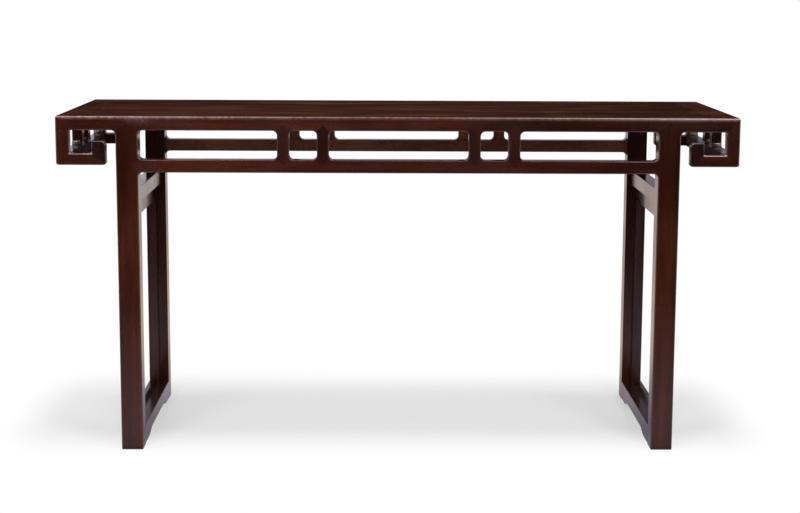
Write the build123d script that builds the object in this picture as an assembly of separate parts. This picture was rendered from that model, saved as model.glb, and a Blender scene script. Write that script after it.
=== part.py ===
from build123d import *
from math import cos, pi, sin
import os

# A Chinese altar table in hardwood: a flush framed top on four straight legs, pierced
# aprons of short struts, squared scroll ends, and a lined frame between the legs of each end.
# Millimetres, +Z up, +X along the top, front at -Y, origin on the floor under the middle.
#
# One quarter of the carcass (+X, -Y) is shaped as a glued-up whole, so that its rounded
# corners and edges run on from piece to piece. It is then cut apart at its joint lines,
# and the quarters are mirrored into the whole table.

# ---- overall sizes
table_length = 1720.0
table_depth = 600.0
table_height = 860.0

# ---- framed top
rail_height = 36.5
rail_width = 76.0
panel_thickness = 16.0
panel_board_count = 3
panel_seam = 0.3
tongue_thickness = 6.0
tongue_length = 8.0
tongue_drop = 5.0
board_tongue_thickness = 5.0
board_tongue_length = 5.0
batten_count = 4
batten_width = 32.0
batten_height = 18.0
batten_key_height = 5.0
batten_key_width = 24.0
batten_key_waist = 19.0
batten_key_inset = 6.0

# ---- legs, stretchers and the struts between stretcher and top
end_overhang = 150.0
leg_width = 55.0
leg_depth = 52.0
leg_nose = 19.0
stretcher_height = 33.0
stretcher_depth = 34.0
stretcher_nose = 17.0
apron_gap = 73.0
strut_width = 30.0
strut_depth = 30.0
strut_nose = 15.0
strut_pair_centre = 241.0
strut_pair_spacing = 100.0

# ---- squared scroll ends
scroll_width = 34.0
scroll_depth = 24.0
scroll_bar_height = 30.0
scroll_drop = 87.5
hook_width = 35.0
hook_gap = 25.0
hook_tip_drop = 26.0
end_strut_thickness = 27.0

# ---- frame between the two legs of an end
side_recess_inner = 11.0
side_recess_outer = 7.0
side_rail_height = 39.5
side_rail_top = 668.0
foot_rail_height = 52.0
foot_pad_lift = 4.5
foot_arch_lift = 17.0
foot_pad_length = 63.0
foot_ogee_length = 75.0
liner_thickness = 11.0
liner_stile_thickness = 22.0
liner_stile_width = 18.0
liner_head_height = 55.0
liner_sill_height = 14.0
liner_tongue = 5.0
liner_tongue_cheek = 3.0
liner_tongue_length = 4.0

# ---- tenons: the hidden parts that hold the joints
strut_tenon = 12.0
strut_tenon_length = 20.0
leg_tenon_width = 30.0
leg_tenon_depth = 24.0
leg_tenon_length = 26.0
stretcher_tenon_height = 22.0
stretcher_tenon_depth = 14.0
stretcher_tenon_length = 32.0
rail_tenon_cheek = 14.0
rail_tenon_width = 26.0
rail_tenon_length = 50.0
rail_tenon_thickness = 12.0
rail_tenon_rise = 8.0
post_tenon_width = 12.0
post_tenon_depth = 8.0
post_tenon_length = 24.0
scroll_tenon_cheek = 3.0
scroll_tenon_depth = 6.0
scroll_tenon_height = 12.0
scroll_tenon_skin = 11.0
low_rail_tenon = 12.0
low_rail_tenon_length = 13.0
side_tenon_thickness = 16.0
side_tenon_shoulder = 8.0
side_tenon_length = 24.0
batten_tenon_length = 12.0
batten_tenon_height = 10.0
mortise_slack = 1.0

# ---- rounding
leg_corner_round = 12.0
strut_corner_round = 12.0
strut_corner_flats = 6
scroll_corner_round = 4.0
post_foot_round = 8.0
hook_tip_round = 12.0
hook_heel_round = 7.0
arris = 3.5
top_arris = 5.0
foot_chamfer = 2.0
small_arris = 1.5
sharp_lip = 0.01

# ---- worked out
end = table_length / 2
front = -table_depth / 2
under_top = table_height - rail_height
leg_out = end - end_overhang
leg_in = leg_out - leg_width
leg_middle = leg_out - leg_width / 2
leg_back = front + leg_depth
stretcher_top = under_top - apron_gap
stretcher_low = stretcher_top - stretcher_height
stretcher_back = front + stretcher_depth
strut_back = front + strut_depth
strut_middles = [strut_pair_centre - strut_pair_spacing / 2, strut_pair_centre + strut_pair_spacing / 2]
end_strut_middle = -strut_pair_spacing / 2
end_strut_in = end - end_strut_thickness
scroll_low = under_top - scroll_drop
scroll_bar_top = scroll_low + scroll_bar_height
scroll_back = front + scroll_depth
post_in = end - scroll_width
hook_heel = leg_out + hook_gap
hook_inner = hook_heel + hook_width
hook_top = under_top - hook_tip_drop
panel_x = end - rail_width
panel_y = table_depth / 2 - rail_width
panel_under = table_height - panel_thickness
side_in = leg_in + side_recess_inner
side_out = leg_out - side_recess_outer
side_rail_low = side_rail_top - side_rail_height
overrun = 1.0


def block(x, y, z):
    """A rectangular block between two limits on each axis."""
    size = [high - low for low, high in (x, y, z)]
    middle = [(high + low) / 2 for low, high in (x, y, z)]
    return Pos(*middle) * Box(*size)


def prism_along_x(outline, low, high):
    """The (y, z) outline carried from one x to another."""
    face = make_face(Polyline(*[(low, y, z) for y, z in outline], close=True))
    return extrude(face, high - low, dir=(1, 0, 0))


def prism_along_y(outline, low, high):
    """The (x, z) outline carried from one y to another."""
    face = make_face(Polyline(*[(x, low, z) for x, z in outline], close=True))
    return extrude(face, high - low, dir=(0, 1, 0))


def prism_along_z(outline, low, high):
    """The (x, y) outline carried from one z to another."""
    face = make_face(Polyline(*[(x, y, low) for x, y in outline], close=True))
    return extrude(face, high - low, dir=(0, 0, 1))


def corner_fill(corner, toward, radius, plane_axis, low, high, flats=0):
    """The sliver that rounds an inside corner, carried along x or y from low to high.

    The corners of the many struts are worked in a few flats, the others in a true round.
    """
    (u, w), (du, dw) = corner, toward

    def at(across, up):
        return (across, low, up) if plane_axis == "y" else (low, across, up)

    def on_curve(turn):
        return at(u + du * radius * (1 - sin(turn)), w + dw * radius * (1 - cos(turn)))

    if flats:
        curve = Polyline(*[on_curve(step * pi / 2 / flats) for step in range(flats + 1)])
    else:
        curve = ThreePointArc(on_curve(0), on_curve(pi / 4), on_curve(pi / 2))
    legs = Polyline(on_curve(pi / 2), at(u, w), on_curve(0))
    direction = (0, 1, 0) if plane_axis == "y" else (1, 0, 0)
    return extrude(make_face([curve, legs]), high - low, dir=direction)


def edges_at(shape, x=None, y=None, z=None):
    """The edges that lie wholly at the coordinates given."""
    found = ShapeList()
    for edge in shape.edges():
        box = edge.bounding_box()
        limits = [(x, box.min.X, box.max.X), (y, box.min.Y, box.max.Y), (z, box.min.Z, box.max.Z)]
        if all(at is None or abs(low - at) + abs(high - at) < 0.01 for at, low, high in limits):
            found.append(edge)
    return found


def beyond(inner, outer, share=0.25):
    """The two points of a mitre line, carried on past both of its ends."""
    run = [share * (b - a) for a, b in zip(inner, outer)]
    past_inner = tuple(a - d for a, d in zip(inner, run))
    past_outer = tuple(b + d for b, d in zip(outer, run))
    return past_inner, past_outer


def nose(half_width, length, reach):
    """A V-shaped shoulder as (across, into) points, its lines run out past the corners."""
    fall = length * reach / half_width
    return [(-half_width - reach, -fall), (0.0, length), (half_width + reach, -fall)]


# ---- the quarter carcass, glued up
def glued_quarter():
    """All the flush members of one quarter as one body, with its rounded corners and edges."""
    y_rail = (front, front + rail_width)
    z_top = (under_top, table_height)
    members = [
        block((0, end), y_rail, z_top),
        block((end - rail_width, end), (front, 0), z_top),
        block((leg_in, leg_out), (front, leg_back), (0, under_top)),
        block((0, leg_in), (front, stretcher_back), (stretcher_low, stretcher_top)),
        block((post_in, end), (front, scroll_back), (scroll_low, under_top)),
        block((hook_heel, end), (front, scroll_back), (scroll_low, scroll_bar_top)),
        block((hook_heel, hook_inner), (front, scroll_back), (scroll_low, hook_top)),
        block((post_in, end), (front, 0), (scroll_low, scroll_bar_top)),
    ]
    fills = [
        corner_fill((leg_in, under_top), (-1, -1), leg_corner_round, "y", front, leg_back),
        corner_fill((leg_out, under_top), (1, -1), leg_corner_round, "y", front, leg_back),
        corner_fill((leg_in, stretcher_top), (-1, 1), leg_corner_round, "y", front, stretcher_back),
        corner_fill((leg_in, stretcher_low), (-1, -1), leg_corner_round, "y", front, stretcher_back),
        corner_fill((post_in, under_top), (-1, -1), scroll_corner_round, "y", front, scroll_back),
        corner_fill((post_in, scroll_bar_top), (-1, 1), scroll_corner_round, "y", front, scroll_back),
        corner_fill((hook_inner, scroll_bar_top), (1, 1), scroll_corner_round, "y", front, scroll_back),
    ]
    for middle in strut_middles:
        across = (middle - strut_width / 2, middle + strut_width / 2)
        members.append(block(across, (front, strut_back), (stretcher_top, under_top)))
        for x, out in zip(across, (-1, 1)):
            for z, away in ((stretcher_top, 1), (under_top, -1)):
                fills.append(strut_corner((x, z), (out, away), "y", front, strut_back))
    along = about(end_strut_middle, strut_width)
    members.append(block((end_strut_in, end), along, (scroll_bar_top, under_top)))
    for z, away in ((scroll_bar_top, 1), (under_top, -1)):
        fills.append(corner_fill((scroll_back, z), (1, away), post_foot_round, "x", post_in, end))
        for y, out in zip(along, (-1, 1)):
            fills.append(strut_corner((y, z), (out, away), "x", end_strut_in, end))
    body = members[0].fuse(*members[1:], *fills).clean()
    body = fillet(edges_at(body, x=hook_heel, z=hook_top), hook_tip_round)
    body = fillet(edges_at(body, x=hook_heel, z=scroll_low), hook_heel_round)
    outer = [{"x": end, "y": front}, {"y": front, "z": table_height}, {"x": end, "z": table_height}]
    body = chamfer([edge for at in outer for edge in edges_at(body, **at)], top_arris)
    return chamfer([edge for edge in body.edges() if takes_arris(edge)], arris)


def takes_arris(edge):
    """Whether an edge shows on the front or the end, and isn't eased yet or on a middle plane."""
    box, middle = edge.bounding_box(), edge.center()
    eased_end, eased_front = end - top_arris - sharp_lip, front + top_arris + sharp_lip
    on_front = box.max.Y < front + sharp_lip and overrun < middle.X < eased_end
    on_end = box.min.X > end - sharp_lip and eased_front < middle.Y < -overrun
    low_corner = box.max.Z < scroll_low + sharp_lip and middle.X > eased_end and middle.Y < eased_front
    return (on_front or on_end or low_corner) and middle.Z < table_height - 2 * top_arris


def strut_corner(corner, toward, plane_axis, low, high):
    """The rounded inside corner at the end of a strut."""
    return corner_fill(corner, toward, strut_corner_round, plane_axis, low, high, strut_corner_flats)


def foot_relief():
    """What comes off the sharp lower edges of a leg."""
    section = block((leg_in, leg_out), (front, leg_back), (0, foot_chamfer))
    eased = chamfer(section.faces().sort_by(Axis.Z)[0].edges(), foot_chamfer - sharp_lip)
    return section - eased


# ---- where the carcass is cut apart
z_joint = (under_top - strut_corner_round, table_height + overrun)


def strut_region(middle):
    """What belongs to a strut: V shoulders into the top rail and into the stretcher."""
    v = nose(strut_width / 2, strut_nose, strut_corner_round)
    upper = [(middle + u, under_top + w) for u, w in v]
    lower = [(middle + u, stretcher_top - w) for u, w in reversed(v)]
    return prism_along_y(upper + lower, front - overrun, strut_back)


def leg_region():
    """What belongs to a leg: one V shoulder into the top rail, then straight to the floor."""
    v = nose(leg_width / 2, leg_nose, leg_corner_round)
    upper = [(leg_middle + u, under_top + w) for u, w in v]
    lower = [(upper[2][0], -overrun), (upper[0][0], -overrun)]
    return prism_along_y(upper + lower, front - overrun, leg_back)


def stretcher_region():
    """What belongs to a stretcher: a V shoulder into the face of the leg."""
    middle = stretcher_low + stretcher_height / 2
    v = nose(stretcher_height / 2, stretcher_nose, leg_corner_round)
    outer = [(leg_in + w, middle + u) for u, w in v]
    inner = [(-overrun, outer[2][1]), (-overrun, outer[0][1])]
    return prism_along_y(outer + inner, front - overrun, stretcher_back)


def end_strut_region():
    """What belongs to a strut of an end: V shoulders into the rails above and below."""
    v = nose(strut_width / 2, strut_nose, strut_corner_round)
    upper = [(end_strut_middle + u, under_top + w) for u, w in v]
    lower = [(end_strut_middle + u, scroll_bar_top - w) for u, w in reversed(v)]
    return prism_along_x(upper + lower, end_strut_in, end + overrun)


def post_region():
    """A post mitred to its neighbours on both faces, so each end of it is a slanting pyramid."""
    in_top, out_top = beyond((post_in, under_top), (end, table_height))
    in_low, out_low = beyond((post_in, scroll_bar_top), (end, scroll_low))
    on_front = prism_along_y([in_top, out_top, out_low, in_low], front - overrun, scroll_back + overrun)
    in_top, out_top = beyond((scroll_back, under_top), (front, table_height))
    in_low, out_low = beyond((scroll_back, scroll_bar_top), (front, scroll_low))
    on_end = prism_along_x([in_top, out_top, out_low, in_low], post_in - rail_width, end + overrun)
    return on_front & on_end


def scroll_bar_region():
    """The foot of a scroll: mitred to the post, to the hook and to the low rail of the end."""
    in_right, out_right = beyond((post_in, scroll_bar_top), (end, scroll_low))
    in_left, out_left = beyond((hook_inner, scroll_bar_top), (hook_heel, scroll_low))
    on_front = prism_along_y([in_left, out_left, out_right, in_right], front - overrun, 0)
    back, tip = beyond((post_in, scroll_back), (end, front))
    outline = [(hook_heel - scroll_width, tip[1]), tip, back, (hook_heel - scroll_width, back[1])]
    return on_front & prism_along_z(outline, 0, under_top)


def hook_region():
    """The upturned hook of a scroll, above its mitre with the bar."""
    inner, outer = beyond((hook_inner, scroll_bar_top), (hook_heel, scroll_low))
    outline = [inner, outer, (outer[0], hook_top + overrun), (inner[0], hook_top + overrun)]
    return prism_along_y(outline, front - overrun, scroll_back + overrun)


def low_rail_region():
    """The low rail of an end, mitred to post and scroll bar at the corner."""
    inner, outer = beyond((scroll_back, scroll_bar_top), (front, scroll_low))
    on_end = prism_along_x([outer, inner, (0, inner[1]), (0, outer[1])], 0, end + overrun)
    back, tip = beyond((post_in, scroll_back), (end, front))
    outline = [tip, (tip[0], 0), (back[0], 0), back]
    return on_end & prism_along_z(outline, 0, under_top)


def top_rail_regions():
    """The front rail and the end rail of the top, mitred in plan."""
    inner, outer = beyond((end - rail_width, front + rail_width), (end, front))
    long_side = [(0, outer[1]), outer, inner, (0, inner[1])]
    short_side = [outer, (outer[0], 0), (inner[0], 0), inner]
    return prism_along_z(long_side, *z_joint), prism_along_z(short_side, *z_joint)


def tenon(x, y, z, tip):
    """A tenon between its limits, and its mortise, which is deeper by the slack at the tip."""
    limits = [list(x), list(y), list(z)]
    axis = "xyz".index(tip[1])
    if tip[0] == "+":
        limits[axis][1] += mortise_slack
    else:
        limits[axis][0] -= mortise_slack
    return block(x, y, z), block(*limits)


def about(middle, size):
    """The two limits of a size centred on a middle."""
    return (middle - size / 2, middle + size / 2)


# ---- the carcass pieces of one quarter, cut apart
carcass = glued_quarter()
strut_regions = [strut_region(middle) for middle in strut_middles]
long_side, short_side = top_rail_regions()
struts = [carcass & region for region in strut_regions]
stretcher = (carcass & stretcher_region()) - strut_regions
leg = (carcass & leg_region()) - stretcher_region() - foot_relief()
post = carcass & post_region()
scroll_bar = carcass & scroll_bar_region()
hook = carcass & hook_region()
end_strut = carcass & end_strut_region()
low_rail = (carcass & low_rail_region()) - end_strut_region()
long_rail = (carcass & long_side) - strut_regions - leg_region() - post_region()
short_rail = (carcass & short_side) - post_region() - end_strut_region()

# ---- their tenons
strut_tenon_y = about(front + strut_depth / 2, strut_tenon)
for number, middle in enumerate(strut_middles):
    across = about(middle, strut_tenon)
    root = strut_nose / 2
    key, pocket = tenon(across, strut_tenon_y, (under_top - root, under_top + strut_tenon_length), "+z")
    struts[number] += key
    long_rail -= pocket
    key, pocket = tenon(
        across, strut_tenon_y, (stretcher_top - strut_tenon_length, stretcher_top + root), "-z"
    )
    struts[number] += key
    stretcher -= pocket

key, pocket = tenon(
    about(leg_middle, leg_tenon_width),
    about(front + leg_depth / 2, leg_tenon_depth),
    (under_top - leg_corner_round, under_top + leg_tenon_length),
    "+z",
)
leg += key
long_rail -= pocket

key, pocket = tenon(
    (leg_in - leg_corner_round, leg_in + stretcher_tenon_length),
    about(front + stretcher_depth / 2, stretcher_tenon_depth),
    about(stretcher_low + stretcher_height / 2, stretcher_tenon_height),
    "+x",
)
stretcher += key
leg -= pocket

rail_tenon_y = front + rail_width - rail_tenon_cheek
key, pocket = tenon(
    (panel_x + tongue_length, panel_x + rail_tenon_length),
    (rail_tenon_y - rail_tenon_width, rail_tenon_y),
    (under_top + rail_tenon_rise, under_top + rail_tenon_rise + rail_tenon_thickness),
    "+x",
)
long_rail += key
short_rail -= pocket

key, pocket = tenon(
    about(end - scroll_width / 2, post_tenon_width),
    about(front + scroll_depth / 2, post_tenon_depth),
    (under_top - scroll_corner_round, under_top + post_tenon_length),
    "+z",
)
post += key
long_rail -= pocket
short_rail -= pocket

scroll_tenon_y = (front + scroll_tenon_cheek, front + scroll_tenon_cheek + scroll_tenon_depth)
scroll_tenon_z = about(scroll_low + scroll_bar_height / 2, scroll_tenon_height)
key, pocket = tenon(
    (post_in - scroll_corner_round, end - scroll_tenon_skin), scroll_tenon_y, scroll_tenon_z, "+x"
)
scroll_bar += key
post -= pocket
low_rail -= pocket
key, pocket = tenon(
    (hook_heel + scroll_tenon_skin, hook_inner + scroll_corner_round), scroll_tenon_y, scroll_tenon_z, "-x"
)
scroll_bar += key
hook -= pocket

key, pocket = tenon(
    about(end - scroll_width / 2, low_rail_tenon),
    (scroll_back - low_rail_tenon_length, scroll_back + scroll_corner_round),
    about(scroll_low + scroll_bar_height / 2, low_rail_tenon),
    "-y",
)
low_rail += key
post -= pocket
scroll_bar -= pocket

across = (about(end - end_strut_thickness / 2, strut_tenon), about(end_strut_middle, strut_tenon))
root = strut_nose / 2
key, pocket = tenon(*across, (under_top - root, under_top + strut_tenon_length), "+z")
end_strut += key
short_rail -= pocket
key, pocket = tenon(*across, (scroll_bar_top - strut_tenon_length, scroll_bar_top + root), "-z")
end_strut += key
low_rail -= pocket


# ---- the frame between the legs of an end, front half
side_middle = (side_in + side_out) / 2
side_tenon_y = (leg_back - side_tenon_length, leg_back + side_tenon_shoulder)
side_rail = block((side_in, side_out), (leg_back, 0), (side_rail_low, side_rail_top))
side_rail = chamfer(side_rail.edges().filter_by(Axis.Y), small_arris)
side_rail_tenon_z = (side_rail_low + side_tenon_shoulder, side_rail_top - side_tenon_shoulder)
key, pocket = tenon(about(side_middle, side_tenon_thickness), side_tenon_y, side_rail_tenon_z, "-y")
side_rail += key
leg -= pocket


def foot_rail_half():
    """A low rail on two pads, its underside rising between them in a long ogee."""
    pad_end = leg_back + foot_pad_length
    arch_start = pad_end + foot_ogee_length
    low = (leg_in, pad_end, foot_pad_lift)
    middle = (leg_in, (pad_end + arch_start) / 2, (foot_pad_lift + foot_arch_lift) / 2)
    high = (leg_in, arch_start, foot_arch_lift)
    rise = TangentArc(low, middle, tangent=(0, 1, 0))
    level = TangentArc(high, middle, tangent=(0, -1, 0))
    rest = Polyline(
        high,
        (leg_in, 0, foot_arch_lift),
        (leg_in, 0, foot_rail_height),
        (leg_in, leg_back, foot_rail_height),
        (leg_in, leg_back, foot_pad_lift),
        low,
    )
    rail = extrude(make_face([rise, level, rest]), leg_width, dir=(1, 0, 0))
    return chamfer(edges_at(rail, z=foot_rail_height).filter_by(Axis.Y), small_arris)


foot_rail = foot_rail_half()
foot_tenon_z = (foot_arch_lift, foot_rail_height - side_tenon_shoulder)
key, pocket = tenon(about(leg_middle, side_tenon_thickness), side_tenon_y, foot_tenon_z, "-y")
foot_rail += key
leg -= pocket

liner_z = (foot_rail_height, side_rail_low)
tongue_x = (side_out - liner_tongue_cheek - liner_tongue, side_out - liner_tongue_cheek)
stile_edge = leg_back + liner_stile_width
liner_stile = block((side_out - liner_stile_thickness, side_out), (leg_back, stile_edge), liner_z)
key, pocket = tenon(tongue_x, (leg_back - liner_tongue_length, stile_edge), liner_z, "-y")
liner_stile += key
leg -= pocket

liner_board_x = (side_out - liner_thickness, side_out)
head_low = side_rail_low - liner_head_height
liner_head = block(liner_board_x, (stile_edge, 0), (head_low, side_rail_low))
key, pocket = tenon(tongue_x, (stile_edge, 0), (head_low, side_rail_low + liner_tongue_length), "+z")
liner_head += key
side_rail -= pocket
key, pocket = tenon(tongue_x, (stile_edge - liner_tongue_length, 0), (head_low, side_rail_low), "-y")
liner_head += key
liner_stile -= pocket

sill_top = foot_rail_height + liner_sill_height
liner_sill = block(liner_board_x, (stile_edge, 0), (foot_rail_height, sill_top))
key, pocket = tenon(tongue_x, (stile_edge, 0), (foot_rail_height - liner_tongue_length, sill_top), "-z")
liner_sill += key
foot_rail -= pocket
key, pocket = tenon(tongue_x, (stile_edge - liner_tongue_length, 0), (foot_rail_height, sill_top), "-y")
liner_sill += key
liner_stile -= pocket


# ---- the quarters mirrored into whole pieces
def to_left(piece):
    """The same piece at the other end of the table."""
    return mirror(piece, about=Plane.YZ)


def to_back(piece):
    """The same piece on the other long side of the table."""
    return mirror(piece, about=Plane.XZ)


pieces = {}


def at_four_corners(name, piece):
    """A piece that every corner of the table has."""
    pieces[name + "_front_right"] = piece
    pieces[name + "_front_left"] = to_left(piece)
    pieces[name + "_back_right"] = to_back(piece)
    pieces[name + "_back_left"] = to_left(to_back(piece))


def at_both_ends(name, half):
    """A piece that each end has, whole from its front half."""
    whole = half + to_back(half)
    pieces[name + "_right"] = whole
    pieces[name + "_left"] = to_left(whole)


at_four_corners("leg", leg)
at_four_corners("scroll_post", post)
at_four_corners("scroll_bar", scroll_bar)
at_four_corners("scroll_hook", hook)
at_four_corners("liner_stile", liner_stile)
at_four_corners("end_strut", end_strut)
at_both_ends("end_low_rail", low_rail)
at_both_ends("side_rail", side_rail)
at_both_ends("foot_rail", foot_rail)
at_both_ends("liner_head", liner_head)
at_both_ends("liner_sill", liner_sill)

front_stretcher = stretcher + to_left(stretcher)
pieces["front_stretcher"] = front_stretcher
pieces["back_stretcher"] = to_back(front_stretcher)
row = [to_left(struts[1]), to_left(struts[0]), struts[0], struts[1]]
for number, strut in enumerate(row, start=1):
    pieces[f"front_apron_strut_{number}"] = strut
    pieces[f"back_apron_strut_{number}"] = to_back(strut)


# ---- the top: grooved rails, floating boards and dovetailed battens
tongue_top = table_height - tongue_drop
tongue_z = (tongue_top - tongue_thickness, tongue_top)
groove = block(
    about(0, 2 * (panel_x + tongue_length)), about(0, 2 * (panel_y + tongue_length)), tongue_z
)
front_rail = long_rail + to_left(long_rail) - groove
end_rail = short_rail + to_back(short_rail) - groove

board_x = about(0, 2 * (panel_x - panel_seam))
board_y = about(0, 2 * (panel_y - panel_seam))
panel = block(board_x, board_y, (panel_under, table_height))
panel += block(
    about(0, 2 * (panel_x + tongue_length - mortise_slack)),
    about(0, 2 * (panel_y + tongue_length - mortise_slack)),
    tongue_z,
)
board_width = 2 * panel_y / panel_board_count
board_tongue_z = about(sum(tongue_z) / 2, board_tongue_thickness)


def batten(middle):
    """A cross batten with a tenon at each end and a dovetailed key along its top."""
    low = panel_under - batten_height
    bar = block(about(middle, batten_width), about(0, 2 * panel_y), (low, panel_under))
    tenon_z = about((low + panel_under) / 2, batten_tenon_height)
    tenon_y = about(0, 2 * (panel_y + batten_tenon_length))
    return bar + block(about(middle, batten_width), tenon_y, tenon_z) + batten_key(middle, batten_key_inset)


def batten_key(middle, inset):
    """The dovetail that holds the boards down, or its slot right across them."""
    waist = about(middle, batten_key_waist)
    crown = about(middle, batten_key_width)
    top = panel_under + batten_key_height
    outline = [(waist[0], panel_under), (crown[0], top), (crown[1], top), (waist[1], panel_under)]
    return prism_along_y(outline, inset - panel_y, panel_y - inset)


batten_spacing = 2 * panel_x / batten_count
batten_middles = [(number - (batten_count - 1) / 2) * batten_spacing for number in range(batten_count)]
batten_pocket_y = panel_y + batten_tenon_length + mortise_slack
batten_tenon_z = about(panel_under - batten_height / 2, batten_tenon_height)
for number, middle in enumerate(batten_middles, start=1):
    pieces[f"top_batten_{number}"] = batten(middle)
    front_rail -= block(about(middle, batten_width), about(0, 2 * batten_pocket_y), batten_tenon_z)
    panel -= batten_key(middle, -tongue_length)

for number in range(panel_board_count):
    low = -panel_y + number * board_width
    high = low + board_width
    low_cut = low - rail_width if number == 0 else low
    high_cut = high + rail_width if number == panel_board_count - 1 else high
    board = panel & block(about(0, table_length), (low_cut, high_cut), (under_top, table_height))
    if number > 0:
        board -= block(board_x, (low - overrun, low + board_tongue_length), board_tongue_z)
    if number < panel_board_count - 1:
        tip = high + board_tongue_length - mortise_slack
        tongue = block(board_x, (high - overrun, tip), board_tongue_z)
        for middle in batten_middles:
            tongue -= batten_key(middle, -tongue_length)
        board += tongue
    pieces[f"top_board_{number + 1}"] = board

pieces["top_front_rail"] = front_rail
pieces["top_back_rail"] = to_back(front_rail)
pieces["top_end_rail_right"] = end_rail
pieces["top_end_rail_left"] = to_left(end_rail)

os.makedirs("parts", exist_ok=True)
for name, piece in sorted(pieces.items()):
    export_step(piece, f"parts/{name}.step")
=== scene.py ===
import math
import random

import bmesh
import bpy
from mathutils import Matrix, Vector


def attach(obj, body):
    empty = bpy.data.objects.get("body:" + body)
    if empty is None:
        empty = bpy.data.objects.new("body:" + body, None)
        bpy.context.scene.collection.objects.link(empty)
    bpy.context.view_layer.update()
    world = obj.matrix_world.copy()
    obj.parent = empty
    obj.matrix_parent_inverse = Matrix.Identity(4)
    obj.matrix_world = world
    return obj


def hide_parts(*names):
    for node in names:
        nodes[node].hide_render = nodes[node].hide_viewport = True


# A Chinese altar table in dark red-brown hardwood under a worn clear finish, on a pale floor.
# Metres, +Z up, front at -Y. Every wooden piece is the frame's own shape, shaded with its
# arrises rubbed soft, and its grain runs along the piece. Only the head board of each end's
# liner is moved a little from the frame's shape.

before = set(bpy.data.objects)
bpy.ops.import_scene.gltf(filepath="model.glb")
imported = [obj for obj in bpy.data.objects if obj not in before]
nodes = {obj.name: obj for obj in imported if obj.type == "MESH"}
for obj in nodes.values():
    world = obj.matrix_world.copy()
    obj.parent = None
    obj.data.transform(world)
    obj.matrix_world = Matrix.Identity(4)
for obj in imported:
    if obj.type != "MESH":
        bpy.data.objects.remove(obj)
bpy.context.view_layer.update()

# ---------------------------------------------------------------- camera
IMAGE_WIDTH = 800
SENSOR_WIDTH = 36.0
FOCAL_PIXELS = 1711.7
CAMERA_PLACE = Vector((-0.0480, -4.5859, 1.1954))
CAMERA_FORWARD = Vector((0.01644, 0.98734, -0.15775))
CAMERA_UP = Vector((-0.00263, 0.15782, 0.98746))
OFF_CENTRE = (7.6, -1.8)
NEAREST_SEEN = 0.05
FARTHEST_SEEN = 100.0


def add_camera():
    """The camera stands in front of the table, a little above it, looking slightly down."""
    data = bpy.data.cameras.new("camera")
    data.sensor_fit = "HORIZONTAL"
    data.sensor_width = SENSOR_WIDTH
    data.lens = FOCAL_PIXELS * SENSOR_WIDTH / IMAGE_WIDTH
    data.shift_x = -OFF_CENTRE[0] / IMAGE_WIDTH
    data.shift_y = OFF_CENTRE[1] / IMAGE_WIDTH
    data.clip_start = NEAREST_SEEN
    data.clip_end = FARTHEST_SEEN
    camera = bpy.data.objects.new("camera", data)
    bpy.context.scene.collection.objects.link(camera)
    right = CAMERA_FORWARD.cross(CAMERA_UP).normalized()
    up = right.cross(CAMERA_FORWARD).normalized()
    turn = Matrix((right, up, -CAMERA_FORWARD.normalized())).transposed()
    camera.matrix_world = Matrix.Translation(CAMERA_PLACE) @ turn.to_4x4()
    bpy.context.scene.camera = camera


add_camera()


# ---------------------------------------------------------------- small helpers for node trees
class Tree:
    """A node tree that is built one node at a time, with sockets given by name or number."""

    def __init__(self, tree):
        self.tree = tree
        self.tree.nodes.clear()

    def give(self, socket, value):
        """Sets a socket to a value, or links it where the value is another node's output."""
        if isinstance(value, bpy.types.NodeSocket):
            self.tree.links.new(value, socket)
        else:
            socket.default_value = value

    def add(self, kind, inputs=None, **settings):
        node = self.tree.nodes.new(kind)
        for key, value in settings.items():
            setattr(node, key, value)
        for key, value in (inputs or {}).items():
            self.give(node.inputs[key], value)
        return node

    def math(self, operation, *values, clamp=False):
        sockets = dict(enumerate(values))
        node = self.add("ShaderNodeMath", sockets, operation=operation, use_clamp=clamp)
        return node.outputs[0]

    def product(self, first, *others):
        for other in others:
            first = self.math("MULTIPLY", first, other)
        return first

    def vector(self, operation, *values):
        node = self.add("ShaderNodeVectorMath", dict(enumerate(values)), operation=operation)
        return node.outputs["Value" if operation == "LENGTH" else 0]

    def parts(self, vector):
        """The x, y and z of a vector."""
        return self.add("ShaderNodeSeparateXYZ", {0: vector}).outputs

    def scaled(self, vector, scale):
        return self.add("ShaderNodeMapping", {"Vector": vector, "Scale": scale}).outputs[0]

    def ramp(self, value, low, high, to_low=0.0, to_high=1.0):
        sockets = {0: value, 1: low, 2: high, 3: to_low, 4: to_high}
        node = self.add("ShaderNodeMapRange", sockets, interpolation_type="SMOOTHSTEP")
        return node.outputs[0]

    def blend(self, share, first, second, kind="MIX"):
        """The first colour where the share is 0, and the second or their product where it is 1."""
        node = self.add("ShaderNodeMix", data_type="RGBA", blend_type=kind)
        # The colours of this node are its sockets 6 and 7, and come out of socket 2.
        self.give(node.inputs[0], share)
        self.give(node.inputs[6], first)
        self.give(node.inputs[7], second)
        return node.outputs[2]

    def shade(self, colour, level):
        """The colour made lighter or darker by a level about one."""
        grey = self.add("ShaderNodeCombineColor", {0: level, 1: level, 2: level}).outputs[0]
        return self.blend(1.0, colour, grey, "MULTIPLY")

    def noise(self, vector, scale, detail=3.0, roughness=0.55, distortion=0.0):
        sockets = {
            "Vector": vector,
            "Scale": scale,
            "Detail": detail,
            "Roughness": roughness,
            "Distortion": distortion,
        }
        return self.add("ShaderNodeTexNoise", sockets).outputs[0]

    def bump(self, height, strength, distance, under=None):
        sockets = {"Height": height, "Strength": strength, "Distance": distance}
        if under is not None:
            sockets["Normal"] = under
        return self.add("ShaderNodeBump", sockets).outputs[0]

    def either(self, share, first, second):
        """One shader where the share is 0 and the other where it is 1."""
        return self.add("ShaderNodeMixShader", {0: share, 1: first, 2: second}).outputs[0]


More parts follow.
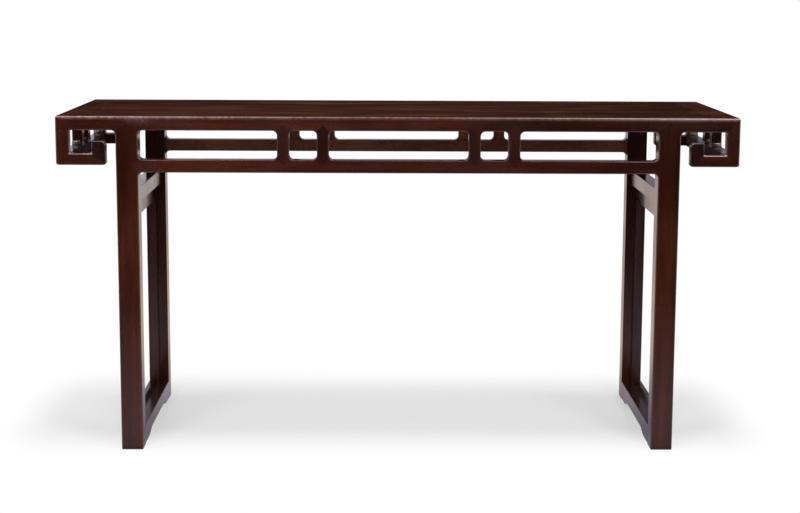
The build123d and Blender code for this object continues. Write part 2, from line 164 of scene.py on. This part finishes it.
def written(red, green, blue):
    """A colour given as it looks on a screen, from 0 to 255, as a shader's linear colour."""

    def linear(value):
        share = value / 255
        return share / 12.92 if share <= 0.04045 else ((share + 0.055) / 1.055) ** 2.4

    return (linear(red), linear(green), linear(blue), 1.0)


def new_surface(name):
    """A material, its empty node tree, and where on the piece a point lies, in metres."""
    material = bpy.data.materials.new(name)
    material.use_nodes = True
    t = Tree(material.node_tree)
    return material, t, t.add("ShaderNodeTexCoord").outputs["Object"]


# ---------------------------------------------------------------- wood
# A name that ends in _RAMP holds the low and high value read, and often the two they turn into.
GRAIN_TURNS = {
    "x": (0.0, 0.0, 0.0),
    "y": (0.0, 0.0, math.radians(-90)),
    "z": (0.0, math.radians(90), 0.0),
}
PORE_BROWN = written(18, 8, 5)
# The pale colours of the arrises: real wear, and a highlight painted on the upper ones, paler on
# the scroll bars.
RUBBED_AND_HIGHLIGHT_BROWN = written(160, 128, 124)
SCROLL_RUBBED_AND_HIGHLIGHT = written(180, 154, 152)
SCRATCH_BROWN = written(118, 92, 76)
MOTTLE_BROWN = written(86, 60, 38)
BLOOM_AND_SHEEN_GREY = written(84, 68, 74)

# Length along the grain and width across it, in metres, of what makes up the wood's figure.
FIGURE_SIZE = (0.45, 0.045)
BAND_SIZE = (0.9, 0.0075)
FIBRE_SIZE = (0.060, 0.0012)
PORE_SIZE = (0.011, 0.00045)
WAVE_SIZE = (0.30, 0.05)
FIGURE_SHARE = 0.70
BAND_SHARE = 0.30
FIGURE_RAMP = (0.34, 0.68)
FIBRE_RAMP = (0.30, 0.65, 0.92, 1.05)
PORE_RAMP = (0.66, 0.76)
PORE_SHARE = 0.30
CLOUD_SCALE = 3.6
CLOUD_RAMP = (0.32, 0.70, 0.86, 1.14)

# Along the table, and up a leg: light and shade painted on it, darker above the knee and paler
# from the knee down, and darker at the very foot.
FADE_RAMP = (-0.3, 0.9)
KNEE_RAMP = (0.48, 0.72, 1.16, 0.68)
FOOT_RAMP = (0.0, 0.014, 0.35, 1.0)

# The surface that things stand on.
TOP_FACING_RAMP = (0.90, 0.99)
MOTTLE_SCALE = (3.0, 14.0, 14.0)
MOTTLE_RAMP = (0.46, 0.68)
MOTTLE_SHARE = 0.38
MARK_SCALE = (4.5, 240.0, 240.0)
MARK_RAMP = (0.66, 0.72)
MARKED_ZONE_SCALE = 5.0
MARKED_ZONE_RAMP = (0.50, 0.62)
SCRATCH_SHARE = 0.60

# Each patch: its middle, and how many patch widths there are to a metre. The left patch is
# bloom that hands have left in the finish, and the right one is a painted sheen.
BLOOM_AND_SHEEN_PATCHES = (
    ((-0.655, -0.300, 0.854), (16.0, 40.0, 50.0)),
    ((0.735, -0.300, 0.858), (9.0, 40.0, 70.0)),
)
PATCH_WANDER_SCALE = 45.0
PATCH_WANDER = 1.1
PATCH_EDGE_RAMP = (0.55, 1.45, 1.0, 0.0)
PATCH_SHARE = 0.50

# The arrises, worn pale by hands and with a highlight painted on the upper ones, most towards
# the table's ends. Towards the right end they are rubbed more evenly and their dents are
# shallower.
ARRIS_RAMP = (0.78, 0.985, 1.0, 0.0)
RIGHT_END = (0.25, 0.60)
KNOCK_SCALE = 75.0
KNOCK_RAMP = (0.36, 0.64)
LEAST_RUBBED_AND_HIGHLIT = (0.42, 0.80)
TOWARDS_END_RAMP = (0.15, 0.75, 0.45, 1.0)
TILT_RAMP = (-0.1, 0.6)
LEAST_BARE_AND_HIGHLIT = 0.15
FULL_PALE_BELOW = 0.003
BELOW_SHARE = 0.5
UPRIGHT_RAMP = (0.3, 0.8, 1.0, 0.0)

# The finish: how its roughness wanders, what adds to it, and the strength and depth of its relief.
HAZE_SCALE = 9.0
HAZE_RAMP = (0.3, 0.7)
SMOOTHEST = -0.05
ROUGHEST = 0.07
PORE_ROUGHNESS = 0.12
RUBBED_ROUGHNESS = 0.10
MOTTLE_ROUGHNESS = 0.08
FIBRE_HEIGHT = 0.5
PORE_DEPTH = 0.6
GRAIN_RELIEF = (0.20, 0.0002)
WAVE_RELIEF = (0.30, 0.0010)
DENT_RELIEF = (0.30, 0.0022)
DENT_SCALE = 120.0
DENTS_TO_RIGHT = (1.0, 0.35)
FINISH_IOR = 1.5
FINISH_SPECULAR = 0.5
FINISH_COAT = 0.40
COAT_ROUGHNESS = 0.12


def worn_top_colour(t, place, tilt, colour):
    """The mottled, scratched colour of a surface that things stand on, and its mottle."""
    upward = t.ramp(tilt, *TOP_FACING_RAMP)
    patches = t.noise(t.scaled(place, MOTTLE_SCALE), 1.0, detail=5.0, roughness=0.62)
    mottle = t.product(t.ramp(patches, *MOTTLE_RAMP), upward)
    colour = t.blend(t.product(mottle, MOTTLE_SHARE), colour, MOTTLE_BROWN)
    marks = t.ramp(t.noise(t.scaled(place, MARK_SCALE), 1.0, detail=2.0), *MARK_RAMP)
    zone = t.ramp(t.noise(place, MARKED_ZONE_SCALE, detail=2.0), *MARKED_ZONE_RAMP)
    scratch = t.product(marks, zone, upward)
    return t.blend(t.product(scratch, SCRATCH_SHARE), colour, SCRATCH_BROWN), mottle


def bloom_and_sheen_colour(t, place, colour):
    """The colour with two dull bluish patches: bloomed finish that hands have left on the left,
    and a painted sheen on the right.
    """
    for middle, widths_to_metre in BLOOM_AND_SHEEN_PATCHES:
        flat = t.vector("MULTIPLY", t.vector("SUBTRACT", place, middle), widths_to_metre)
        reach = t.vector("LENGTH", flat)
        wander = t.product(t.noise(place, PATCH_WANDER_SCALE, detail=4.0), PATCH_WANDER)
        dull = t.ramp(t.math("ADD", reach, wander), *PATCH_EDGE_RAMP)
        colour = t.blend(t.product(dull, PATCH_SHARE), colour, BLOOM_AND_SHEEN_GREY)
    return colour


def hardwood(
    name,
    grain,
    dark,
    light,
    gloss=0.24,
    fade=0.0,
    leg=False,
    worn_top=False,
    bluish_patches=False,
    wear_and_highlight=0.35,
    upper_arris=None,
    bare_and_highlight_tone=RUBBED_AND_HIGHLIGHT_BROWN,
    arris_reach=0.011,
):
    """Dense red-brown hardwood with its grain along one axis, under an old clear finish.

    dark and light are the two tones of the figure and gloss is the roughness of the finish.
    fade is how much darker the wood gets towards the right end of the table. leg paints light and
    shade on it, darker above the knee and paler from the knee down, and makes it dark at the foot.
    worn_top is the surface that things stand on, where no shine is left, and bluish_patches
    adds a patch of bloomed finish that hands have left and a patch of painted sheen.

    wear_and_highlight is how pale the upper arrises are at the table's ends, worn by hands
    and with a highlight painted on them, and bare_and_highlight_tone the colour that they get.
    upper_arris is the height of an arris whose worn and painted paleness runs down the upright
    face below it, as far as arris_reach.
    """
    material, t, place = new_surface(name)
    along_table, _, height = t.parts(place)
    soft_normal = t.add("ShaderNodeTexCoord").outputs["Normal"]
    tilt = t.parts(soft_normal)[2]
    board_shift = t.add("ShaderNodeAttribute", attribute_name="board_shift").outputs["Vector"]
    board_tone_and_light = t.add("ShaderNodeAttribute", attribute_name="board_tone_and_light").outputs["Fac"]
    grain_turn = {"Vector": place, "Rotation": GRAIN_TURNS[grain]}
    turned = t.add("ShaderNodeMapping", grain_turn, vector_type="POINT").outputs[0]
    own = t.vector("ADD", turned, board_shift)

    def along(length, width):
        """Coordinates in which a figure of that length and width is one unit each way."""
        return t.scaled(own, (1 / length, 1 / width, 1 / width))

    figure = t.noise(along(*FIGURE_SIZE), 1.0, detail=4.0, distortion=1.0)
    bands = t.noise(along(*BAND_SIZE), 1.0, detail=3.0, distortion=0.3)
    fibres = t.noise(along(*FIBRE_SIZE), 1.0, detail=2.0)
    pore = t.ramp(t.noise(along(*PORE_SIZE), 1.0, detail=1.0), *PORE_RAMP)
    cloud = t.noise(place, CLOUD_SCALE, detail=3.0)

    tone = t.math("ADD", t.product(figure, FIGURE_SHARE), t.product(bands, BAND_SHARE))
    colour = t.blend(t.ramp(tone, *FIGURE_RAMP), dark, light)
    colour = t.shade(colour, t.ramp(fibres, *FIBRE_RAMP))
    colour = t.blend(t.product(pore, PORE_SHARE), colour, PORE_BROWN)
    colour = t.shade(colour, t.ramp(cloud, *CLOUD_RAMP))
    # Each piece's own tone, which on four legs is painted light and shade.
    colour = t.shade(colour, board_tone_and_light)
    if fade:
        colour = t.shade(colour, t.ramp(along_table, *FADE_RAMP, 1.0, 1.0 - fade))
    if leg:
        # Light and shade painted on a leg: darker above the knee, paler below it, darker at the
        # very foot.
        colour = t.shade(colour, t.ramp(height, *KNEE_RAMP))
        colour = t.shade(colour, t.ramp(height, *FOOT_RAMP))
    if worn_top:
        colour, mottle = worn_top_colour(t, place, tilt, colour)
    # A patch of bloomed finish, and a patch of painted sheen.
    if bluish_patches:
        colour = bloom_and_sheen_colour(t, place, colour)

    # The arrises are where hands and cloths have worn the finish through, and where a
    # highlight is painted on the upper ones.
    facing = t.parts(t.vector("ABSOLUTE", soft_normal))
    flattest = t.math("MAXIMUM", t.math("MAXIMUM", facing[0], facing[1]), facing[2])
    arris = t.ramp(flattest, *ARRIS_RAMP)
    least_rubbed = t.ramp(along_table, *RIGHT_END, *LEAST_RUBBED_AND_HIGHLIT)
    knocks = t.ramp(t.noise(place, KNOCK_SCALE, detail=5.0), *KNOCK_RAMP, least_rubbed, 1.0)
    rubbed_and_highlit = t.product(arris, knocks)
    towards_end = t.ramp(t.math("ABSOLUTE", along_table), *TOWARDS_END_RAMP)
    bare_and_highlit = t.product(t.ramp(tilt, *TILT_RAMP, LEAST_BARE_AND_HIGHLIT, wear_and_highlight), towards_end)
    colour = t.blend(t.product(bare_and_highlit, rubbed_and_highlit), colour, bare_and_highlight_tone)
    # A highlight is painted, with some wear, down the upright face just below the upper arris.
    if upper_arris:
        pale_from, pale_to = upper_arris - arris_reach, upper_arris - FULL_PALE_BELOW
        below = t.ramp(height, pale_from, pale_to, 0.0, wear_and_highlight * BELOW_SHARE)
        below = t.product(below, t.ramp(tilt, *UPRIGHT_RAMP), knocks, towards_end)
        colour = t.blend(below, colour, bare_and_highlight_tone)

    haze = t.noise(place, HAZE_SCALE, detail=5.0)
    rough = t.ramp(haze, *HAZE_RAMP, gloss + SMOOTHEST, gloss + ROUGHEST)
    rough = t.math("ADD", rough, t.product(pore, PORE_ROUGHNESS))
    rough = t.math("ADD", rough, t.product(rubbed_and_highlit, RUBBED_ROUGHNESS), clamp=True)
    if worn_top:
        rough = t.math("ADD", rough, t.product(mottle, MOTTLE_ROUGHNESS), clamp=True)

    fibre_height, pore_depth = t.product(fibres, FIBRE_HEIGHT), t.product(pore, PORE_DEPTH)
    relief = t.bump(t.math("SUBTRACT", fibre_height, pore_depth), *GRAIN_RELIEF)
    wave = t.noise(along(*WAVE_SIZE), 1.0, detail=2.0)
    relief = t.bump(wave, *WAVE_RELIEF, under=relief)
    dents = t.product(t.noise(place, DENT_SCALE, detail=3.0), arris)
    dents = t.product(dents, t.ramp(along_table, *RIGHT_END, *DENTS_TO_RIGHT))
    relief = t.bump(dents, *DENT_RELIEF, under=relief)
    shader = t.add(
        "ShaderNodeBsdfPrincipled",
        {
            "Base Color": colour,
            "Roughness": rough,
            "Normal": relief,
            "IOR": FINISH_IOR,
            "Specular IOR Level": 0.0 if worn_top else FINISH_SPECULAR,
            "Coat Weight": 0.0 if worn_top else FINISH_COAT,
            "Coat Roughness": COAT_ROUGHNESS,
        },
    )
    t.add("ShaderNodeOutputMaterial", {"Surface": shader.outputs[0]})
    return material


PLANE_MARK_SCALE = (90, 4, 90)
PLANE_MARK_RAMP = (0.3, 0.7, 0.85, 1.10)
PLANE_RELIEF = (0.3, 0.0005)
DUST_AND_SHEEN_SCALE = 14.0
DUST_AND_SHEEN_RAMP = (0.35, 0.68)
DUST_ROUGHNESS_RAMP = (0.3, 0.7, 0.70, 0.85)
RAW_WOOD = written(44, 28, 26)
# The grey is partly dust and partly a painted sheen.
DUST_AND_SHEEN_GREY = written(84, 68, 72)


def raw_inner_face(name):
    """The inner face of an end's low rail: planed, never polished, and dusty grey, the grey
    partly a painted sheen.
    """
    material, t, place = new_surface(name)
    plane_marks = t.noise(t.scaled(place, PLANE_MARK_SCALE), 1.0)
    dust_and_sheen = t.noise(place, DUST_AND_SHEEN_SCALE, detail=5.0)
    colour = t.blend(t.ramp(dust_and_sheen, *DUST_AND_SHEEN_RAMP), RAW_WOOD, DUST_AND_SHEEN_GREY)
    colour = t.shade(colour, t.ramp(plane_marks, *PLANE_MARK_RAMP))
    shader = t.add(
        "ShaderNodeBsdfPrincipled",
        {
            "Base Color": colour,
            "Roughness": t.ramp(dust_and_sheen, *DUST_ROUGHNESS_RAMP),
            "Normal": t.bump(plane_marks, *PLANE_RELIEF),
            "Specular IOR Level": 0.0,
        },
    )
    t.add("ShaderNodeOutputMaterial", {"Surface": shader.outputs[0]})
    return material


# The dark and the light tone of each wood's figure.
FRAME_TONES = (written(45, 12, 3), written(67, 26, 10))
STRUT_TONES = (written(38, 10, 3), written(56, 20, 9))
TOP_TONES = (written(38, 17, 13), written(60, 34, 26))
INSIDE_TONES = (written(34, 16, 11), written(56, 36, 30))
LINER_TONES = (written(38, 14, 12), written(54, 26, 24))
LINER_BOARD_TONES = (LINER_TONES[0], INSIDE_TONES[1])
# The back rail and back struts are painted lighter than the rest, standing in for the light that
# falls on them.
BACK_PAINTED_LIGHT_TONES = (written(72, 33, 11), written(98, 53, 26))
RAIL_TONES = (written(48, 14, 6), written(71, 29, 15))
HOOK_TONES = (written(24, 8, 7), written(37, 15, 13))

TABLE_TOP = 0.860
SCROLL_BAR_TOP = 0.767
TOP_FADE = 0.42

woods = {
    "long rail": hardwood("long_rail_wood", "x", *FRAME_TONES, fade=0.35),
    "end rail": hardwood("end_rail_wood", "y", *FRAME_TONES),
    "side frame": hardwood("side_frame_wood", "y", *INSIDE_TONES, gloss=0.20),
    "upright": hardwood("upright_wood", "z", *FRAME_TONES, fade=0.25),
    "short strut": hardwood("short_strut_wood", "z", *STRUT_TONES, fade=0.20),
    "back rail": hardwood("back_rail_wood", "x", *BACK_PAINTED_LIGHT_TONES),
    "back strut": hardwood("back_strut_painted_light_wood", "z", *BACK_PAINTED_LIGHT_TONES),
    "liner stile": hardwood("liner_stile_wood", "z", *LINER_TONES, gloss=0.30, leg=True),
    "liner board": hardwood("liner_board_wood", "y", *LINER_BOARD_TONES, gloss=0.18),
    "hook": hardwood("hook_wood", "z", *HOOK_TONES),
    "leg": hardwood("leg_wood", "z", *FRAME_TONES, gloss=0.20, leg=True, bluish_patches=True),
    "top rail": hardwood(
        "top_rail_wood", "x", *RAIL_TONES, fade=0.55, bluish_patches=True, wear_and_highlight=0.95, upper_arris=TABLE_TOP
    ),
    "scroll": hardwood(
        "scroll_wood",
        "x",
        *FRAME_TONES,
        fade=0.20,
        wear_and_highlight=1.4,
        upper_arris=SCROLL_BAR_TOP,
        bare_and_highlight_tone=SCROLL_RUBBED_AND_HIGHLIGHT,
        arris_reach=0.005,
    ),
    "board": hardwood("board_wood", "x", *TOP_TONES, gloss=0.35, fade=0.30),
    "batten": hardwood("batten_wood", "y", *TOP_TONES, gloss=0.55),
}


def worn_surface(name, grain, fade=TOP_FADE):
    """The worn upper face of a board or rail of the top."""
    return hardwood(name, grain, *TOP_TONES, fade=fade, worn_top=True)


# Pieces with a second surface: which way that surface faces, and what it is.
UPWARD = Vector((0.0, 0.0, 1.0))
FACES_THAT_WAY = 0.99
OTHER_SURFACE_OF = (
    ("top_board", "up", worn_surface("board_top", "x")),
    ("top_end_rail", "up", worn_surface("end_rail_top", "y", fade=0.0)),
    ("top_front_rail", "up", worn_surface("front_rail_top", "x")),
    ("top_back_rail", "up", worn_surface("back_rail_top", "x")),
    ("end_low_rail", "inward", raw_inner_face("raw_inner_face")),
)

# The first line that a piece's name starts with is its wood, so liner_stile comes before liner.
WOOD_OF = (
    ("leg", "leg"),
    ("top_board", "board"),
    ("top_batten", "batten"),
    ("top_end_rail", "end rail"),
    ("top_front_rail", "top rail"),
    ("top_back_rail", "top rail"),
    ("end_low_rail", "end rail"),
    ("side_rail", "side frame"),
    ("foot_rail", "side frame"),
    ("liner_stile", "liner stile"),
    ("liner", "liner board"),
    ("front_stretcher", "long rail"),
    ("front_apron_strut", "short strut"),
    ("end_strut", "short strut"),
    ("back_stretcher", "back rail"),
    ("back_apron_strut", "back strut"),
    ("scroll_bar", "scroll"),
    ("scroll_hook", "hook"),
)


def wood_for(node):
    """Which wood a piece is cut from, by its place and the way its grain has to run."""
    for start, wood in WOOD_OF:
        if node.startswith(start):
            return woods[wood]
    return woods["upright"]


# ---------------------------------------------------------------- pieces with rubbed arrises
WELD = 1e-6
SAME_FLAT = math.cos(math.radians(1.0))
SOFTENED_UP_TO = math.cos(math.radians(50.0))
BROAD_SHARE = 0.8
# The head board of each liner stands flush with the stiles, and its lower edge is a little
# higher. A vertex nearer the middle of the table than LINER_HEAD_MIDDLE is on its inner face,
# and one below LINER_HEAD_LOW is on its lower edge.
LINER_HEAD_MIDDLE = 0.6975
LINER_HEAD_FORWARD = 0.010
LINER_HEAD_LOW = 0.600
LINER_HEAD_UP = 0.010
FIGURE_SHIFT = 3.0
TONE_SPREAD = (0.95, 1.05)
# Fixed tones for four legs, which paint light and shade on them: the left front leg lighter, and
# the right front and back legs darker, as the light falls on them.
PAINTED_LIGHT_TONE_OF = {
    "leg_front_left": 1.04,
    "leg_front_right": 0.78,
    "leg_back_left": 0.78,
    "leg_back_right": 0.70,
}


def flats_of(shape):
    """Groups the faces in one plane: a number for each face, and each flat's way and area."""
    number_of = {}
    flats = []
    for seed in shape.faces:
        if seed in number_of:
            continue
        number = len(flats)
        number_of[seed] = number
        area = 0.0
        waiting = [seed]
        while waiting:
            face = waiting.pop()
            area += face.calc_area()
            for edge in face.edges:
                for other in edge.link_faces:
                    if other not in number_of and other.normal.dot(seed.normal) > SAME_FLAT:
                        number_of[other] = number
                        waiting.append(other)
        flats.append((seed.normal.copy(), area))
    return number_of, flats


def shading_normals(shape):
    """Normals that keep the broad flats flat and turn evenly over the narrow ones between."""
    number_of, flats = flats_of(shape)
    normals = []
    for face in shape.faces:
        for vertex in face.verts:
            near = sorted({number_of[other] for other in vertex.link_faces})
            around = [flats[number] for number in near]
            meeting = [flat for flat in around if flat[0].dot(face.normal) > SOFTENED_UP_TO]
            broadest = max((area for _, area in meeting), default=0.0)
            total = Vector()
            for way, area in meeting:
                if area >= broadest * BROAD_SHARE:
                    total += way
            normals.append(total.normalized() if total.length > 0 else face.normal.copy())
    return normals


def set_liner_head(shape):
    """Brings the head board of a liner flush with the stiles, and lifts its lower edge."""
    for vertex in shape.verts:
        if abs(vertex.co.x) < LINER_HEAD_MIDDLE:
            vertex.co.x -= math.copysign(LINER_HEAD_FORWARD, vertex.co.x)
        if vertex.co.z < LINER_HEAD_LOW:
            vertex.co.z += LINER_HEAD_UP


def cut_from_own_board(node, mesh):
    """Gives a piece its own part of the figure and its own tone, which on four legs is painted
    light and shade, as attributes of its mesh.
    """
    chance = random.Random(node)
    shift = [chance.uniform(-FIGURE_SHIFT, FIGURE_SHIFT) for _ in range(3)]
    tone = PAINTED_LIGHT_TONE_OF.get(node, chance.uniform(*TONE_SPREAD))
    count = len(mesh.vertices)
    board_shift = mesh.attributes.new("board_shift", "FLOAT_VECTOR", "POINT")
    board_shift.data.foreach_set("vector", shift * count)
    board_tone_and_light = mesh.attributes.new("board_tone_and_light", "FLOAT", "POINT")
    board_tone_and_light.data.foreach_set("value", [tone] * count)


def rubbed_piece(node, source):
    """A piece's own shape, welded into one skin, with arrises that shade as worn round."""
    shape = bmesh.new()
    shape.from_mesh(source.data)
    bmesh.ops.remove_doubles(shape, verts=shape.verts, dist=WELD)
    middle_x = sum(vertex.co.x for vertex in shape.verts) / len(shape.verts)
    if node.startswith("liner_head"):
        set_liner_head(shape)
    shape.normal_update()
    normals = shading_normals(shape)
    mesh = bpy.data.meshes.new(f"{node}_wood")
    shape.to_mesh(mesh)
    shape.free()
    mesh.polygons.foreach_set("use_smooth", [True] * len(mesh.polygons))
    mesh.normals_split_custom_set(normals)
    cut_from_own_board(node, mesh)
    mesh.materials.append(wood_for(node))
    inward = Vector((-1.0 if middle_x > 0 else 1.0, 0.0, 0.0))
    for start, facing, surface in OTHER_SURFACE_OF:
        if node.startswith(start):
            mesh.materials.append(surface)
            way = UPWARD if facing == "up" else inward
            for face in mesh.polygons:
                face.material_index = 1 if face.normal.dot(way) > FACES_THAT_WAY else 0
    piece = bpy.data.objects.new(f"{node}_wood", mesh)
    bpy.context.scene.collection.objects.link(piece)
    return piece


for node, source in nodes.items():
    piece = rubbed_piece(node, source)
    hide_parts(node)
    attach(piece, "root")


# ---------------------------------------------------------------- floor
WHITE = (1.0, 1.0, 1.0, 1.0)
FLOOR_REACH = 60.0
FLOOR_TONE = 0.80
FLOOR_SHADOW_SHARE = 0.53
SHADOW_MIDDLE = (-0.03, 0.12)
SHADOW_HALF = (0.88, 0.17)
SHADOW_EDGE = (0.17, 0.36)
# How brightly polished wood mirrors the floor, by how far back the floor is: dark well in front,
# cool and half lit round the feet, and bright and warm further back.
MIRRORED_FLOOR = (
    (-2.4, (0.01, 0.01, 0.01)),
    (-1.2, (0.26, 0.27, 0.30)),
    (-0.5, (0.38, 0.40, 0.45)),
    (-0.1, (0.23, 0.20, 0.26)),
    (0.3, (0.42, 0.36, 0.41)),
    (0.7, (0.68, 0.55, 0.50)),
    (1.2, (0.86, 0.68, 0.58)),
    (2.5, (0.70, 0.57, 0.49)),
    (4.2, (0.68, 0.57, 0.51)),
    (7.0, (0.68, 0.59, 0.55)),
)


def mirrored_floor(t, depth):
    """The floor's brightness in polished wood, as a colour that changes with its depth."""
    first, last = MIRRORED_FLOOR[0][0], MIRRORED_FLOOR[-1][0]
    share = t.add("ShaderNodeMapRange", {0: depth, 1: first, 2: last}).outputs[0]
    mirror = t.add("ShaderNodeValToRGB", {0: share})
    stops = mirror.color_ramp.elements
    while len(stops) < len(MIRRORED_FLOOR):
        stops.new(0.5)
    for stop, (back, colour) in zip(stops, MIRRORED_FLOOR):
        stop.position = (back - first) / (last - first)
        stop.color = (*colour, 1.0)
    return mirror.outputs[0]


def add_floor():
    """A pale floor that runs on to the horizon, and keeps the table's soft shadow."""
    mesh = bpy.data.meshes.new("floor")
    corners = [(-1, -1), (1, -1), (1, 1), (-1, 1)]
    places = [(x * FLOOR_REACH, y * FLOOR_REACH, 0.0) for x, y in corners]
    mesh.from_pydata(places, [], [(0, 1, 2, 3)])
    floor = bpy.data.objects.new("floor", mesh)
    bpy.context.scene.collection.objects.link(floor)
    material, t, place = new_surface("pale_floor")
    pale = (FLOOR_TONE, FLOOR_TONE, FLOOR_TONE, 1.0)
    matt = t.add("ShaderNodeBsdfDiffuse", {"Color": pale}).outputs[0]
    white = t.add("ShaderNodeEmission", {"Color": WHITE, "Strength": 1.0}).outputs[0]
    lit = t.either(FLOOR_SHADOW_SHARE, white, matt)
    sideways, depth, _ = t.parts(place)

    def beyond(value, middle, half, edge):
        """How far past the shadow's core a point lies, in widths of the shadow's soft edge."""
        off = t.math("SUBTRACT", t.math("ABSOLUTE", t.math("SUBTRACT", value, middle)), half)
        return t.math("DIVIDE", t.math("MAXIMUM", off, 0.0), edge)

    past_x = beyond(sideways, SHADOW_MIDDLE[0], SHADOW_HALF[0], SHADOW_EDGE[0])
    past_y = beyond(depth, SHADOW_MIDDLE[1], SHADOW_HALF[1], SHADOW_EDGE[1])
    squares = t.math("ADD", t.math("POWER", past_x, 2.0), t.math("POWER", past_y, 2.0))
    seen = t.either(t.ramp(t.math("SQRT", squares), 0.0, 1.0), lit, white)

    glow = {"Color": mirrored_floor(t, depth), "Strength": 1.0}
    glare = t.add("ShaderNodeEmission", glow).outputs[0]
    path = t.add("ShaderNodeLightPath")
    other = t.either(path.outputs["Is Glossy Ray"], matt, glare)
    both = t.either(path.outputs["Is Camera Ray"], other, seen)
    t.add("ShaderNodeOutputMaterial", {"Surface": both})
    mesh.materials.append(material)


add_floor()

# ---------------------------------------------------------------- light
# Each soft lamp: its name, its place, what it is aimed at, its width and height, its power in
# watts, and whether it shows in polished wood.
SOFTBOXES = (
    ("overhead", (0.0, -0.25, 3.2), (0.0, -0.1, 0.0), (2.8, 1.5), 50.0, True),
    ("high_left", (-1.5, -3.2, 3.1), (-0.3, 0.0, 0.6), (0.9, 1.2), 46.0, True),
    ("high_right", (1.6, -3.2, 3.1), (0.3, 0.0, 0.6), (0.9, 1.2), 42.0, True),
    ("front_fill", (0.0, -5.5, 1.4), (0.0, 0.0, 0.5), (4.0, 2.2), 58.0, False),
    ("back_fill", (0.0, 5.5, 1.6), (0.0, 0.0, 0.5), (4.0, 2.2), 45.0, False),
    ("left_fill", (-5.5, 0.0, 1.6), (0.0, 0.0, 0.5), (3.0, 2.2), 40.0, False),
    ("right_fill", (5.5, 0.0, 1.6), (0.0, 0.0, 0.5), (3.0, 2.2), 40.0, False),
)


def add_softbox(name, place, aim, size, power, mirrored):
    """A soft rectangular lamp that faces the point it is aimed at."""
    data = bpy.data.lights.new(name, "AREA")
    data.shape = "RECTANGLE"
    data.size, data.size_y = size
    data.energy = power
    lamp = bpy.data.objects.new(name, data)
    bpy.context.scene.collection.objects.link(lamp)
    towards = Vector(aim) - Vector(place)
    turn = towards.to_track_quat("-Z", "Y").to_matrix().to_4x4()
    lamp.matrix_world = Matrix.Translation(Vector(place)) @ turn
    lamp.visible_glossy = mirrored


for softbox in SOFTBOXES:
    add_softbox(*softbox)

# What polished wood mirrors above the floor: a ceiling, and a backdrop that ends at a low line
# and is brighter to the left.
ROOM_LEVEL = 0.45
MIRRORED_TINT = (0.92, 0.88, 1.0, 1.0)
CEILING_RAMP = (0.50, 0.95, 0.004, 0.45)
BACKDROP_TOP_RAMP = (0.226, 0.246, 0.70, 0.0)
BACKDROP_BACK_RAMP = (0.2, 0.7)
BACKDROP_SIDE_RAMP = (-0.05, 0.15, 1.0, 0.45)


def set_world():
    """White where the camera sees past the floor, and a plain soft light for everything else."""
    world = bpy.data.worlds.new("room")
    world.use_nodes = True
    bpy.context.scene.world = world
    t = Tree(world.node_tree)
    white = t.add("ShaderNodeBackground", {"Color": WHITE, "Strength": 1.0}).outputs[0]
    soft = t.add("ShaderNodeBackground", {"Color": WHITE, "Strength": ROOM_LEVEL}).outputs[0]
    side, back, up = t.parts(t.add("ShaderNodeTexCoord").outputs["Generated"])
    ceiling = t.ramp(up, *CEILING_RAMP)
    backdrop = t.product(
        t.ramp(up, *BACKDROP_TOP_RAMP),
        t.ramp(back, *BACKDROP_BACK_RAMP),
        t.ramp(side, *BACKDROP_SIDE_RAMP),
    )
    mirrored = {"Color": MIRRORED_TINT, "Strength": t.math("ADD", ceiling, backdrop)}
    sheen = t.add("ShaderNodeBackground", mirrored).outputs[0]
    path = t.add("ShaderNodeLightPath")
    other = t.either(path.outputs["Is Glossy Ray"], soft, sheen)
    both = t.either(path.outputs["Is Camera Ray"], other, white)
    t.add("ShaderNodeOutputWorld", {"Surface": both})


set_world()
bpy.context.scene.view_settings.view_transform = "Standard"
